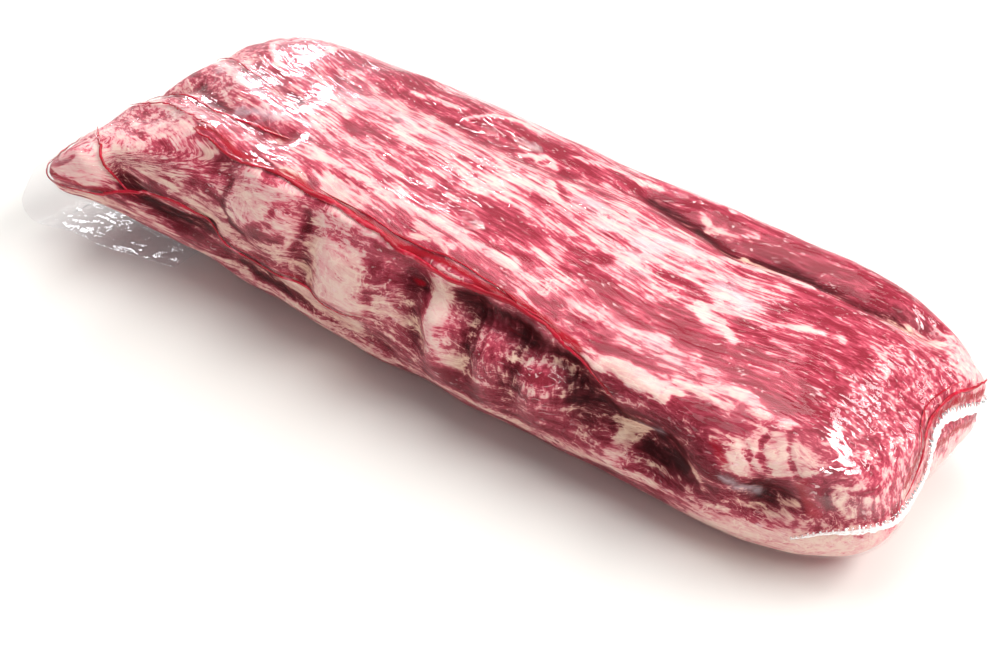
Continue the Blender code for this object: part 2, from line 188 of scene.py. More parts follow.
# How lean each place is: 1 is red muscle, 0 is fat. A stroke is its value, the side it is
# drawn on, its half width and its course.
HALF_LEAN, COARSE_GRAIN, FINE_GRAIN = 0.48, 0.30, 0.15
lean = HALF_LEAN + COARSE_GRAIN * skin.noise((60, 16, 16)) + FINE_GRAIN * skin.noise((22, 7, 7), 5.0)
LEAN_STROKES = [
    # pale fat over the middle of the top
    (0.32, "top", 21, (-195, 22), (-120, 12), (-40, 9), (40, 5), (100, 0), (146, -4)),
    (0.36, "top", 15, (-130, -28), (-60, -36), (-20, -30)),
    (0.50, "top", 7, (-60, 30), (20, 27), (60, 25)),
    # rib cap along the back
    (0.95, "top", 10, (-160, 54), (-100, 50), (-40, 44), (20, 44), (70, 44), (140, 50), (215, 54)),
    (0.92, "top", 6, (-150, 44), (-60, 34), (20, 33)),
    (0.16, "top", 2.4, (-52, 38), (-42, 50), (-26, 58)),
    (0.20, "top", 2.4, (14, 42), (26, 50), (40, 53), (62, 51)),
    (0.12, "top", 3.6, (-8, 27), (2, 32), (12, 28)),
    (0.85, "top", 1.8, (-4, 27), (6, 29)),
    (0.22, "top", 2.2, (-92, 42), (-60, 43)),
    (0.10, "top", 4, (-168, 42), (-166, 58)),
    (1.00, "top", 8, (76, 36), (120, 38), (200, 44)),
    (0.30, "top", 2, (92, 44), (100, 38), (124, 44)),
    # eye muscle at the sealed end
    (0.92, "top", 12, (170, 22), (206, 24)),
    (0.95, "top", 13, (172, -2), (206, -5)),
    (0.95, "top", 14, (163, -28), (216, -30)),
    (0.95, "top", 10, (170, -48), (214, -50)),
    (0.52, "top", 6, (216, 8), (228, 16)),
    (0.86, "top", 9, (228, -8), (230, -46)),
    (0.80, "top", 6, (226, 22), (232, 34)),
    (0.25, "top", 3.5, (204, 32), (222, 40)),
    (0.30, "top", 2.6, (158, -14), (176, -8), (196, -2)),
    (0.34, "top", 2, (172, -20), (190, -24)),
    # windows of muscle in the fat
    (1.00, "top", 9.5, (9, -33), (44, -35)),
    (0.95, "top", 9, (76, -38), (110, -44), (140, -44)),
    (0.90, "top", 5, (68, -30), (82, -24)),
    (0.95, "top", 6, (124, -30), (150, -40), (162, -50)),
    (0.90, "top", 3.4, (106, -16), (120, -13), (134, -17)),
    (0.10, "top", 3.4, (134, -22), (142, -30)),
    (0.12, "top", 3, (148, -26), (160, -34)),
    (0.85, "top", 7, (-88, -11), (-62, -12)),
    (0.80, "top", 5, (-12, -22), (-10, -38)),
    (0.70, "top", 5, (-46, -23), (-28, -31)),
    (0.80, "top", 3.5, (26, -5), (33, -6)),
    (0.80, "top", 2, (25, 14), (40, 4)),
    (0.75, "top", 3, (-75, 9), (-73, 6)),
    (0.80, "top", 2.2, (-24, 0), (-10, -1)),
    (0.70, "top", 2, (50, -4), (88, -9)),
    (0.75, "top", 2.4, (128, 10), (148, 15)),
    (0.85, "top", 1.8, (116, 21), (134, 22), (158, 21)),
    (0.10, "top", 3.6, (126, 30), (164, 27)),
    (0.14, "top", 3, (124, 17), (140, 19)),
    (0.80, "top", 2.4, (-20, 23), (22, 25), (72, 24), (100, 27), (122, 25)),
    # sinew band and the front strip
    (0.05, "top", 3.2, (-95, -46), (-50, -52), (0, -56), (60, -59)),
    (0.30, "top", 4, (60, -57), (100, -57), (140, -55), (172, -58), (192, -62)),
    (0.80, "top", 4, (-30, -38), (20, -47), (60, -53)),
    (0.55, "top", 9, (-150, -42), (-90, -34), (-40, -40)),
    (0.80, "top", 5, (-30, -69), (40, -68), (95, -68), (184, -70)),
    (0.12, "top", 5, (-58, -64), (-46, -66)),
    (0.16, "top", 4, (2, -64), (22, -66)),
    (0.22, "top", 2.6, (112, -76), (130, -72), (156, -70)),
    (0.20, "top", 2, (150, -65), (178, -66)),
    (0.90, "top", 2.4, (-150, -62), (-120, -66), (-88, -69)),
    (0.90, "top", 5, (-126, -74), (-112, -72)),
    # folds of the far end
    (0.22, "top", 9, (-240, -62), (-200, -62), (-170, -58)),
    (0.52, "top", 22, (-215, 16), (-170, 10), (-130, 24)),
    (0.56, "top", 12, (-200, -32), (-150, -46), (-100, -52)),
    (0.98, "top", 3.2, (-240, 14), (-215, 1), (-190, -17), (-165, -29), (-135, -35), (-96, -40)),
    (0.85, "top", 3, (-232, -8), (-205, -20), (-180, -26)),
    (0.88, "top", 3.2, (-228, 54), (-200, 30), (-165, 5), (-130, -6)),
    (0.70, "top", 2.2, (-222, 32), (-196, 10), (-176, -2)),
    (0.80, "top", 12, (-240, 60), (-216, 46), (-196, 46)),
    (0.30, "top", 3, (-232, 44), (-210, 32), (-196, 26)),
    (0.80, "top", 4.4, (-196, 50), (-172, 52)),
    (0.80, "top", 2.2, (-206, 66), (-190, 46)),
    (0.75, "top", 2.4, (-218, -46), (-204, -52)),
    (0.80, "top", 2.6, (-240, -45), (-215, -58), (-190, -68)),
    (0.14, "top", 3, (-236, -28), (-190, -43), (-150, -53)),
    (0.34, "top", 3.0, (-190, 0), (-150, -17), (-112, -30)),
    (0.85, "top", 2.4, (-200, 36), (-178, 22), (-154, 8)),
    (0.80, "top", 2.0, (-190, 46), (-168, 32), (-146, 20)),
    (0.85, "top", 2.0, (-178, 2), (-158, -8), (-136, -18)),
    (0.22, "top", 3.2, (-235, 28), (-205, 12), (-170, -6)),
    (0.14, "top", 3.4, (-220, 66), (-196, 40), (-176, 24)),
    # front: fat of the far corner, folds and hollow beside it
    (0.52, "front", 30, (-200, 40), (-100, 40), (0, 40), (120, 40)),
    (0.16, "front", 10, (-228, 60), (-208, 63)),
    (0.75, "front", 1.5, (-244, 66), (-230, 70), (-216, 72)),
    (0.70, "front", 1.5, (-246, 58), (-232, 57), (-222, 66)),
    (0.90, "front", 2.4, (-240, 53), (-212, 49), (-188, 50)),
    (0.95, "front", 5, (-190, 57), (-168, 51), (-150, 47), (-128, 52)),
    (0.34, "front", 6, (-200, 74), (-160, 70), (-134, 68)),
    (0.85, "front", 3.4, (-140, 78), (-116, 74)),
    (0.25, "front", 4, (-137, 70), (-118, 62)),
    (0.88, "front", 6, (-150, 38), (-118, 44), (-90, 46)),
    # front: the fat lumps, and lean between them
    (0.22, "front", 15, (-98, 82), (-86, 82), (-76, 79)),
    (0.80, "front", 2, (-92, 70), (-80, 76), (-76, 84)),
    (0.70, "front", 1.6, (-112, 76), (-100, 70)),
    (0.92, "front", 3, (-104, 65), (-86, 67), (-72, 70)),
    (0.30, "front", 5, (-116, 58), (-80, 57)),
    (0.14, "front", 5.5, (-78, 37), (-66, 38)),
    (0.78, "front", 2.2, (-59, 86), (-61, 74), (-66, 62)),
    (0.92, "front", 2.2, (-112, 85), (-116, 76), (-110, 66), (-100, 62)),
    (0.17, "front", 11, (-46, 70), (-30, 72), (-26, 56), (-42, 54)),
    (0.90, "front", 8, (-12, 80), (8, 78), (14, 67)),
    (0.20, "front", 6, (-6, 56), (14, 56)),
    (0.18, "front", 6, (-58, 34), (-28, 34)),
    (0.10, "front", 7, (25, 78), (30, 64), (42, 52)),
    (0.36, "front", 2.6, (33, 68), (37, 60), (42, 54)),
    (0.85, "front", 18, (58, 64), (96, 60)),
    (0.98, "front", 5, (38, 82), (75, 78), (105, 70), (120, 62)),
    # front: torn muscle, the small knob, the corner lump and the corner hollow
    (0.94, "front", 9, (108, 57), (150, 60), (182, 57)),
    (0.84, "front", 4, (112, 70), (150, 70), (190, 72)),
    (0.14, "front", 2.6, (114, 75), (134, 76), (150, 73)),
    (0.14, "front", 6, (129, 34), (133, 41), (141, 46)),
    (0.95, "front", 4, (148, 48), (154, 42)),
    (0.74, "front", 10, (150, 40), (198, 40)),
    (0.24, "front", 2.6, (166, 46), (178, 42)),
    (0.24, "front", 2.2, (168, 34), (190, 33)),
    (0.16, "front", 8, (193, 63), (205, 68), (218, 64)),
    (0.80, "front", 1.4, (201, 78), (199, 68), (206, 60)),
    (0.70, "front", 1.2, (188, 70), (197, 64), (203, 55)),
    (0.70, "front", 1.2, (208, 74), (212, 66), (219, 60)),
    (0.98, "front", 3.4, (184, 54), (196, 50), (208, 49)),
    (0.90, "front", 7, (207, 47), (217, 52), (226, 50)),
    (0.20, "front", 2.6, (211, 44), (218, 46)),
    (1.00, "front", 3.6, (224, 58), (229, 52), (228, 45)),
    (0.22, "front", 4, (234, 54), (240, 44)),
    # front: the lower band and the heel of fat
    (0.92, "front", 3, (-112, 35), (-90, 33), (-62, 28)),
    (0.86, "front", 7, (-16, 38), (30, 34), (80, 37), (120, 42)),
    (0.25, "front", 3, (-112, 27), (-60, 22), (0, 18)),
    (0.25, "front", 3, (20, 25), (90, 22), (150, 26)),
    (0.90, "front", 6, (0, 11), (80, 13), (150, 17)),
    (0.19, "front", 12, (178, 20), (215, 20), (250, 22)),
    # sealed end: muscle above the seal, fat below it
    (0.62, "end", 13, (-50, 62), (-20, 62), (10, 66), (40, 62)),
    (0.52, "end", 10, (-52, 48), (-20, 50), (30, 50)),
    (0.12, "end", 15, (-70, 20), (-35, 20), (0, 20), (50, 24), (70, 20)),
    (0.90, "end", 4, (-4, 40), (10, 45), (28, 42), (46, 36), (60, 32)),
    (0.16, "end", 8, (44, 60), (60, 52)),
    (0.20, "top", 7, (236, 46), (238, 60)),
]
skin.paint(lean, LEAN_STROKES, edge=5)
# Muscle and fat are then brought a little nearer to each other.
MIDDLE, CONTRAST = 0.44, 0.88
lean = MIDDLE + CONTRAST * (lean - MIDDLE)

# The stubs between the ribs fan out in fine pale ribs of their own, 6 mm apart.
FINGERS_X, FINGERS_Z = 72, 60
FINGER_SPLAY, FINGER_RUN, FINGER_PALENESS = 0.35, 0.95, 0.30
splay = FINGER_SPLAY * (z_mm - FINGERS_Z) * np.sign(x_mm - FINGERS_X)
finger_fan = np.sin((x_mm - splay) / FINGER_RUN)
fingers = skin.stroke("front", 17, (56, 64), (94, 60))
lean -= FINGER_PALENESS * np.maximum(finger_fan, 0) * fingers

# Painted shade, and in places pooled blood, where the meat is dark: the front below its upper edge, which
# lies in shade, and the hollows, the seams and the undercuts.
FRONT_SHADE, FRONT_EDGE = 0.55, 84
shade_and_blood = FRONT_SHADE * ease(forth, 0.2, 0.8) * ease(FRONT_EDGE - z_mm, 0, 14)
# Strokes of painted shade and blood in the seams, hollows and undercuts.
SHADE_AND_BLOOD_STROKES = [
    (1.00, "front", 9, (108, 56), (150, 56), (178, 55)),
    (0.80, "front", 9, (150, 40), (198, 40)),
    (1.00, "front", 4, (184, 54), (196, 50), (208, 49)),
    (0.90, "front", 7, (206, 47), (226, 50)),
    (1.00, "front", 5, (30, 81), (75, 77), (105, 69), (122, 60)),
    (0.85, "front", 11, (118, 52), (150, 46), (198, 44)),
    (0.85, "front", 3, (47, 70), (50, 54)),
    (0.85, "front", 3, (73, 70), (76, 52)),
    (0.90, "front", 4, (-190, 57), (-168, 51), (-150, 47), (-128, 52)),
    (0.60, "front", 2.2, (-59, 84), (-61, 74), (-66, 62)),
    (0.85, "front", 2.6, (-112, 85), (-116, 76), (-110, 66), (-92, 64), (-76, 67)),
    (0.90, "front", 3, (-112, 35), (-90, 33), (-62, 28)),
    (0.40, "front", 13, (-98, 82), (-76, 79)),
    (0.40, "front", 10, (-46, 68), (-26, 60)),
    (0.42, "front", 6, (25, 77), (30, 64), (42, 52)),
    (0.34, "front", 8, (193, 65), (218, 66)),
    (0.10, "front", 12, (-232, 62), (-206, 64)),
    (0.34, "front", 14, (180, 20), (250, 22)),
    (0.00, "front", 3.6, (224, 58), (228, 45)),
    (0.75, "top", 3, (62, 42), (94, 35), (118, 30), (150, 35), (187, 34), (210, 40)),
    (0.50, "top", 2, (116, 21), (158, 21)),
    (0.40, "top", 2.6, (-240, 12), (-215, 1), (-190, -17), (-160, -32)),
    (0.35, "top", 2.6, (-205, 33), (-170, 9), (-130, -5)),
    (0.60, "top", 4, (-140, -70), (-66, -69)),
]
skin.paint(shade_and_blood, SHADE_AND_BLOOD_STROKES)

# Painted shade darkens every small hollow of the surface, and lumps stay light.
HOLLOW_SHADE_PER_MM = 0.22
LUMP, HOLLOW = -1.5, 3
spread = even_places(beef.data, skin.place, 45)
hollow = ((spread - skin.place) * skin.normal).sum(axis=1) / MM
shade_and_blood = np.clip(shade_and_blood + HOLLOW_SHADE_PER_MM * np.clip(hollow, LUMP, HOLLOW), 0, 1)

# Thin silverskin that looks milky and a little blue under the bag, and a painted milky sheen of the bag's
# film at the far end and on the front.
milky = np.zeros(len(lean))
SILVERSKIN_AND_SHEEN_STROKES = [
    (0.90, "top", 9, (74, 0), (104, 7)),
    (0.80, "top", 8, (136, -2), (150, -8)),
    (0.60, "top", 6, (46, 12), (58, 8)),
    (0.60, "top", 6, (86, -8), (96, -20)),
    # painted sheen of the bag's film at the far end, this stroke and the next two
    (0.80, "top", 5, (-218, 26), (-206, 12)),
    (0.80, "top", 6, (-180, 4), (-150, -12)),
    (0.70, "top", 5, (-158, -26), (-120, -30)),
    (0.40, "top", 8, (-120, 16), (-40, 12)),
    (0.30, "top", 4, (100, -57), (150, -56)),
    # painted sheen of the bag's film on the front, this stroke and the next
    (0.70, "front", 3, (140, 54), (148, 54)),
    (0.80, "front", 2, (189, 53), (193, 48), (199, 45)),
]
skin.paint(milky, SILVERSKIN_AND_SHEEN_STROKES)

# Bright blood held under the bag's folds. Strokes on the top stay off the lips below it.
juice = np.zeros(len(lean))
JUICE_STROKES = [
    (0.8, "top", 2.2, (-215, -20), (-188, -25), (-165, -31), (-135, -37), (-100, -42)),
    (0.6, "top", 1.6, (-205, -36), (-165, -48), (-128, -60)),
    (0.8, "top", 2.2, (-156, -58), (-93, -70), (-49, -71), (0, -74), (68, -73), (104, -76)),
    (0.7, "front", 1.8, (100, 77), (112, 71), (122, 63)),
    (0.5, "front", 2.4, (-244, 55), (-212, 50), (-184, 53), (-150, 58)),
    (0.5, "front", 2.2, (-150, 58), (-112, 50), (-62, 46), (-16, 50)),
    (0.52, "front", 5.0, (220, 58), (226, 44)),
    (0.50, "front", 3.0, (178, 66), (190, 58)),
    (0.9, "end", 2.4, (-30, 44), (-14, 52), (0, 56), (24, 55), (46, 48)),
    (0.8, "end", 2.4, (-8, 38), (2, 42), (20, 42), (40, 36)),
]
skin.paint(juice, JUICE_STROKES, top_part=ease(z_mm, 66, 74))

# Fibres that run up and down instead of along the roll: the rib fingers and the sealed end.
turned = ease(endward, 0.55, 0.85)
TURNED_STROKES = [
    (1.00, "front", 20, (54, 62), (94, 58)),
    (0.55, "front", 9, (-44, 72), (-38, 56)),
]
skin.lift_to(turned, TURNED_STROKES)

# Torn and tangled tissue on the front, where the bones were cut away.
wild = ease(forth, 0.25, 0.7) * ease(x_mm, -150, -90)
WILD_STROKES = [(1.00, "front", 22, (196, 52), (232, 50))]
skin.lift_to(wild, WILD_STROKES)

# The grain follows the muscles. It is flat over each side of the roll, it slants across the
# top and turns at both ends, and it wanders, most of all in the torn tissue.
GRAIN_BACK, GRAIN_TOP = 70 * MM, 86 * MM
TOP_SLANT = 0.12
FAR_TURN = {"slant": 0.30, "start": 100, "run": 34}
NEAR_TURN = {"slant": 0.36, "start": 140, "run": 30}
slant = TOP_SLANT * x_mm
slant -= FAR_TURN["slant"] * bend(-x_mm, FAR_TURN["start"], FAR_TURN["run"])
slant -= NEAR_TURN["slant"] * bend(x_mm, NEAR_TURN["start"], NEAR_TURN["run"])
on_top = ease(even_out(beef.data, up, 90), 0.3, 0.75)
grain = even_places(beef.data, spread, 220)
grain[:, 1] = np.clip(grain[:, 1], -GRAIN_BACK, GRAIN_BACK)
grain[:, 2] = np.minimum(grain[:, 2], GRAIN_TOP)
grain[:, 1] += slant * MM * on_top
tangle = skin.wander(34, 6, 70.0) + skin.wander(14, 1.2, 90.0)
astray = skin.wander(42, 4) + wild[:, None] * tangle
grain += astray * np.stack([np.ones(len(up)), on_top, 1 - on_top], axis=1)

# Fine relief on the beef itself, in millimetres: fat stands proud of the muscle, and there
# are soft lumps, strands and the ribs of the rib fingers. The underside stays flat.
FAT_PROUD, LUMPS, STRANDS, FINGER_RIBS = 0.5, 0.7, 0.35, 0.8
UNDERSIDE = (2, 12)
above = ease(z_mm, *UNDERSIDE)
swell = FAT_PROUD * ease(0.6 - lean, 0, 0.5) + LUMPS * skin.noise((24, 12, 12), 2.0)
swell += STRANDS * skin.noise((16, 4.5, 4.5), 9.0)
swell += FINGER_RIBS * finger_fan * fingers
swell *= above
UNDER_FILM = 1.5
low_corner, high_corner = np.array(cad_box)


def settle(mesh, lift):
    """Moves the skin out by a lift in millimetres, but never out of the box of the solid."""
    places = np.clip(skin.place + skin.normal * (lift * MM)[:, None], low_corner, high_corner)
    mesh.vertices.foreach_set("co", places.astype(np.float32).ravel())
    mesh.update()


settle(beef.data, swell - UNDER_FILM)


def store(mesh, name, values):
    """Keeps a number or a vector for each vertex, for the material to read."""
    if values.ndim == 1:
        mesh.attributes.new(name, "FLOAT", "POINT").data.foreach_set("value", values.astype(np.float32))
    else:
        field = mesh.attributes.new(name, "FLOAT_VECTOR", "POINT")
        field.data.foreach_set("vector", values.astype(np.float32).ravel())


PAINTED = {
    "lean": lean, "shade_and_blood": shade_and_blood, "milky": milky, "juice": juice,
    "turned": turned, "wild": wild, "grain": grain,
}
for name, values in PAINTED.items():
    store(beef.data, name, values)


class Finish:
    """A node material, built up by short calls that return the sockets they make."""

    def __init__(self, name):
        self.material = bpy.data.materials.new(name)
        self.material.use_nodes = True
        self.tree = self.material.node_tree
        self.tree.nodes.clear()
        self.output = self.tree.nodes.new("ShaderNodeOutputMaterial")

    def add(self, kind, inputs=None, **settings):
        """Adds a node. Inputs are given by name or place, as a socket or a value."""
        made = self.tree.nodes.new(kind)
        for key, value in settings.items():
            setattr(made, key, value)
        for key, value in (inputs or {}).items():
            if isinstance(value, bpy.types.NodeSocket):
                self.tree.links.new(value, made.inputs[key])
            else:
                made.inputs[key].default_value = value
        return made

    def field(self, name, output="Fac"):
        """What was stored on the mesh under a name."""
        return self.add("ShaderNodeAttribute", attribute_name=name).outputs[output]

    def place(self):
        """Where a point of the piece is."""
        return self.add("ShaderNodeTexCoord").outputs["Object"]

    def calc(self, operation, one, other=0.0, third=None, clamp=False):
        """Works out a number from one to three others."""
        inputs = {0: one, 1: other}
        if third is not None:
            inputs[2] = third
        return self.add("ShaderNodeMath", inputs, operation=operation, use_clamp=clamp).outputs[0]

    def either(self, share, one, other):
        """Mixes two numbers."""
        return self.add("ShaderNodeMix", {0: share, 2: one, 3: other}).outputs[0]

    def off_middle(self, value):
        """How far a noise is above or below its middle."""
        return self.calc("SUBTRACT", value, 0.5)

    def line(self, value, half_width):
        """1 along the thin lines where a noise crosses its middle."""
        away = self.calc("ABSOLUTE", self.off_middle(value))
        return self.calc("SUBTRACT", 1.0, self.between(away, 0.0, half_width))

    def noise(self, vector, scale, detail=3.0, roughness=0.55, distortion=0.0):
        """Noise with its own number of features per metre along each axis."""
        stretched = self.add("ShaderNodeMapping", {"Vector": vector, "Scale": scale}).outputs[0]
        settings = {"Vector": stretched, "Scale": 1.0, "Detail": detail}
        settings.update({"Roughness": roughness, "Distortion": distortion})
        return self.add("ShaderNodeTexNoise", settings).outputs["Fac"]

    def between(self, value, low, high):
        """0 below low, 1 above high, and a smooth rise between them."""
        inputs = {"Value": value, "From Min": low, "From Max": high}
        return self.add("ShaderNodeMapRange", inputs, interpolation_type="SMOOTHSTEP").outputs[0]

    def blend(self, share, one, other):
        """Mixes two colours."""
        made = self.add("ShaderNodeMix", {0: share}, data_type="RGBA")
        for key, value in ((6, one), (7, other)):
            if isinstance(value, bpy.types.NodeSocket):
                self.tree.links.new(value, made.inputs[key])
            else:
                made.inputs[key].default_value = (*value, 1)
        return made.outputs[2]

    def ramp(self, value, stops):
        """A colour for each value, eased between the given stops."""
        made = self.add("ShaderNodeValToRGB", {"Fac": value})
        band = made.color_ramp
        while len(band.elements) < len(stops):
            band.elements.new(0.5)
        for element, (place, colour) in zip(band.elements, stops):
            element.position = place
            element.color = (*colour, 1)
        return made.outputs["Color"]

    def bump(self, strength, distance, height):
        """Facing directions roughened by a height, for a shader's Normal."""
        inputs = {"Strength": strength, "Distance": distance, "Height": height}
        return self.add("ShaderNodeBump", inputs).outputs[0]

    def glossy(self, roughness, bump):
        """A mirror-like shader."""
        inputs = {"Color": (1, 1, 1, 1), "Roughness": roughness, "Normal": bump}
        return self.add("ShaderNodeBsdfGlossy", inputs).outputs[0]

    def layered(self, share, one, other):
        """Mixes two shaders."""
        return self.add("ShaderNodeMixShader", {0: share, 1: one, 2: other}).outputs[0]

    def show(self, shader):
        """Puts a shader on the surface, and gives the material."""
        self.tree.links.new(shader, self.output.inputs["Surface"])
        return self.material


# Colours from pure fat to deep muscle, where the light falls and where it doesn't.
LIT_RAMP = (
    (0.00, (0.93, 0.67, 0.60)),
    (0.24, (0.89, 0.48, 0.48)),
    (0.38, (0.85, 0.33, 0.36)),
    (0.46, (0.76, 0.15, 0.21)),
    (0.54, (0.60, 0.080, 0.128)),
    (0.72, (0.48, 0.050, 0.090)),
    (1.00, (0.30, 0.018, 0.038)),
)
SHADE_RAMP = (
    (0.00, (0.88, 0.63, 0.48)),
    (0.24, (0.70, 0.41, 0.31)),
    (0.38, (0.50, 0.21, 0.19)),
    (0.46, (0.30, 0.075, 0.082)),
    (0.56, (0.17, 0.026, 0.035)),
    (0.75, (0.10, 0.012, 0.017)),
    (1.00, (0.045, 0.004, 0.006)),
)
FLECK = (0.95, 0.66, 0.66)
# Lilac white of silverskin and of the painted sheen of the film.
SILVERSKIN_AND_SHEEN = (0.74, 0.62, 0.67)
BLOOD = (0.42, 0.004, 0.018)


def beef_finish():
    """Red muscle with strands and flecks, pink to cream fat with veins, blood and painted shade in the
    hollows.
    """
    f = Finish("raw_beef")
    along, here = f.field("grain", "Vector"), f.place()
    lean, shade_and_blood, wild, turned = (f.field(name) for name in ("lean", "shade_and_blood", "wild", "turned"))

    # Patches of fat and fine strands run along the grain. On the rib fingers and the sealed end
    # the strands stand upright, and in torn tissue they tangle.
    patches = f.noise(along, (42, 190, 190), 4.0, 0.52, 0.4)
    strands = f.noise(along, (62, 620, 620), 3.0, 0.52, 0.3)
    upright = f.noise(here, (480, 480, 110), 3.0, 0.52, 0.3)
    strands = f.either(turned, strands, upright)
    tangle = f.noise(along, (150, 330, 330), 4.0, 0.6, 1.4)
    torn = f.calc("SUBTRACT", wild, turned, clamp=True)
    strands = f.either(f.calc("MULTIPLY", torn, 0.6), strands, tangle)
    threads = f.noise(along, (230, 1900, 1900), 2.0, 0.6)
    mottle = f.noise(here, (90, 140, 140), 4.0, 0.6, 1.0)

    # Marbling shows in full where fat and muscle mix, and faintly in pure lumps of fat.
    mixed = f.calc("MULTIPLY_ADD", f.between(lean, 0.10, 0.46), 0.58, 0.42)
    marbling = f.calc("MULTIPLY", f.off_middle(patches), 1.8)
    marbling = f.calc("MULTIPLY_ADD", f.off_middle(strands), 1.8, marbling)
    level = f.calc("MULTIPLY_ADD", marbling, mixed, lean)
    level = f.calc("MULTIPLY_ADD", f.off_middle(threads), 0.4, level)
    mottled = f.calc("MULTIPLY_ADD", turned, -0.5, 0.9)
    level = f.calc("MULTIPLY_ADD", f.off_middle(mottle), mottled, level)

    # Thin red veins run through the fat, and thin pale seams through the muscle.
    veins = f.line(f.noise(along, (26, 90, 90), 3.0, 0.5, 0.8), 0.014)
    seams = f.line(f.noise(along, (34, 110, 110), 3.0, 0.5, 0.8), 0.014)
    webs = f.line(f.noise(along, (70, 150, 150), 3.0, 0.5, 1.2), 0.030)
    seams = f.either(wild, seams, webs)
    level = f.calc("MULTIPLY_ADD", veins, 0.16, level)
    level = f.calc("MULTIPLY_ADD", seams, -0.26, level)
    # Painted shade: where the beef is painted dark, its colour comes from the shade ramp instead of the lit
    # one.
    colour = f.blend(shade_and_blood, f.ramp(level, LIT_RAMP), f.ramp(level, SHADE_RAMP))

    # Small pale flecks lie in loose clouds, and keep out of the painted shade and the blood.
    clouds = f.noise(here, (38, 60, 60), 3.0, 0.55, 0.5)
    flecks = f.between(f.noise(along, (210, 620, 620), 2.0, 0.5, 0.6), 0.64, 0.69)
    flakes = f.between(f.noise(along, (90, 260, 260), 3.0, 0.6, 0.9), 0.65, 0.70)
    is_fleck = f.calc("MULTIPLY", f.calc("MAXIMUM", flecks, flakes), f.between(clouds, 0.38, 0.60))
    is_fleck = f.calc("MULTIPLY", is_fleck, f.calc("SUBTRACT", 0.85, shade_and_blood), clamp=True)
    colour = f.blend(is_fleck, colour, FLECK)

    # Silverskin and the painted sheen of the film are patchy, and blood under the folds soaks in between the
    # strands.
    wisps = f.between(f.noise(here, (60, 90, 90), 3.0), 0.40, 0.62)
    haze = f.calc("MULTIPLY", f.field("milky"), wisps)
    colour = f.blend(f.calc("MULTIPLY", haze, 0.75), colour, SILVERSKIN_AND_SHEEN)
    wet = f.between(f.calc("MULTIPLY_ADD", strands, 0.4, f.field("juice")), 0.45, 0.95)
    colour = f.blend(wet, colour, BLOOD)

    height = f.calc("MULTIPLY_ADD", strands, 0.8, f.calc("MULTIPLY", threads, 0.3))
    height = f.calc("SUBTRACT", height, f.calc("MULTIPLY", level, 0.5))
    inputs = {"Base Color": colour, "Normal": f.bump(0.6, 0.9 * MM, height), "Roughness": 0.42}
    inputs.update({"Subsurface Weight": 0.05, "Subsurface Scale": 2 * MM, "Specular IOR Level": 0.08})
    return f.show(f.add("ShaderNodeBsdfPrincipled", inputs).outputs[0])


beef.data.materials.clear()
beef.data.materials.append(beef_finish())
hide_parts("ribeye_roll")
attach(beef, "root")

# ------------------------------------------------------------------------------------
# The shrink bag. Clear film a tenth of a millimetre thick, drawn on the beef by vacuum
# and heat: it bridges the hollows, and is thrown into fine wrinkles at both ends.
# ------------------------------------------------------------------------------------
CLING = 0.6
FAR_RIDGES, SEAL_RIDGES, FINE_RIDGES = 0.9, 0.5, 0.35

bag = fine_copy("ribeye_roll", "shrink_bag")
far_part = ease(-x_mm, 110, 170)
seal_part = ease(x_mm, 205, 235)

# Film that is drawn tight over the corner by the seal has no wrinkles.
TAUT_STROKES = [
    (1.00, "front", 13, (218, 70), (230, 60)),
    (1.00, "top", 13, (222, -58), (232, -40)),
]
taut = np.zeros(len(lean))
skin.lift_to(taut, TAUT_STROKES)


def ridges(size, seed):
    """Thin sharp ridges from 0 to 1, with features of a size."""
    return 1 - np.abs(skin.noise(size, seed))


lift = np.maximum(swell, even_out(bag.data, swell, 12)) + CLING
lift += FAR_RIDGES * far_part * above * ridges((70, 5.5, 5.5), 3.0)
lift += SEAL_RIDGES * (1 - taut) * seal_part * above * ridges((30, 3.2, 40), 7.0)
lift += FINE_RIDGES * above * ridges((40, 6, 6), 11.0)
settle(bag.data, lift - UNDER_FILM)

# How crinkled the film is: most along its folds, and at the far end more in front than behind.
SMOOTH_CRINKLE, FOLD_CRINKLE = 0.28, 0.5
SEAL_GATHER, FAR_GATHER, FAR_BACK_LESS = 0.30, 0.8, 0.4
FOLD_STROKES = [
    (1.00, "top", 9, (-156, -60), (-93, -72), (-2, -75), (68, -73), (113, -78)),
    (1.00, "front", 8, (-240, 50), (-212, 48), (-184, 54), (-147, 60), (-117, 49), (-62, 45), (-16, 49)),
    (1.00, "front", 8, (-236, 66), (-214, 66), (-196, 58), (-179, 52)),
    (1.00, "top", 14, (-240, -12), (-205, -24), (-165, -38), (-128, -50)),
    (1.00, "end", 10, (-60, 40), (-20, 46), (8, 58), (50, 48)),
]
gather = SEAL_GATHER * seal_part * (1 - taut)
gather += far_part * (FAR_GATHER - FAR_BACK_LESS * ease(y_mm, 10, 40))
gather = np.clip(gather, 0, 1)
skin.lift_to(gather, FOLD_STROKES)

